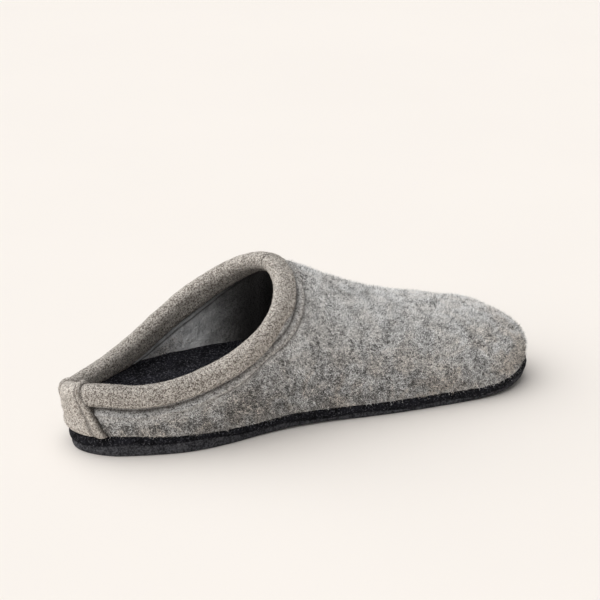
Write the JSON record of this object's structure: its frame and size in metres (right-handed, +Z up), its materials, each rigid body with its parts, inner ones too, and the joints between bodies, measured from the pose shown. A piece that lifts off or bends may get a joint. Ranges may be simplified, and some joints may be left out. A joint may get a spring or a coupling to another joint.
{
  "type": "felt house slipper",
  "caption": "Left felt house slipper with a low back, open collar with a knitted binding, heel tab, thick footbed and a thin flat sole",
  "frame": {"origin": "middle of the footprint's bounding box, on the floor", "axes": "+X towards the toe, +Y towards the little-toe side (the shoe's left), +Z up"},
  "size_m": [0.2696, 0.1028, 0.083],
  "materials": {
    "latex_grey": "matt, fine grain",
    "felt_black": "pressed felt, matt",
    "footbed_black": "soft felt with light flecks",
    "felt_grey": "mottled wool felt with a fuzzy nap",
    "knit_beige": "fine knitted melange"
  },
  "bodies": {
    "root": {"outsole": "latex_grey", "midsole": "felt_black", "insole": "footbed_black", "upper": "felt_grey", "collar_binding": "knit_beige", "heel_tab": "knit_beige"}
  },
  "joints": []
}
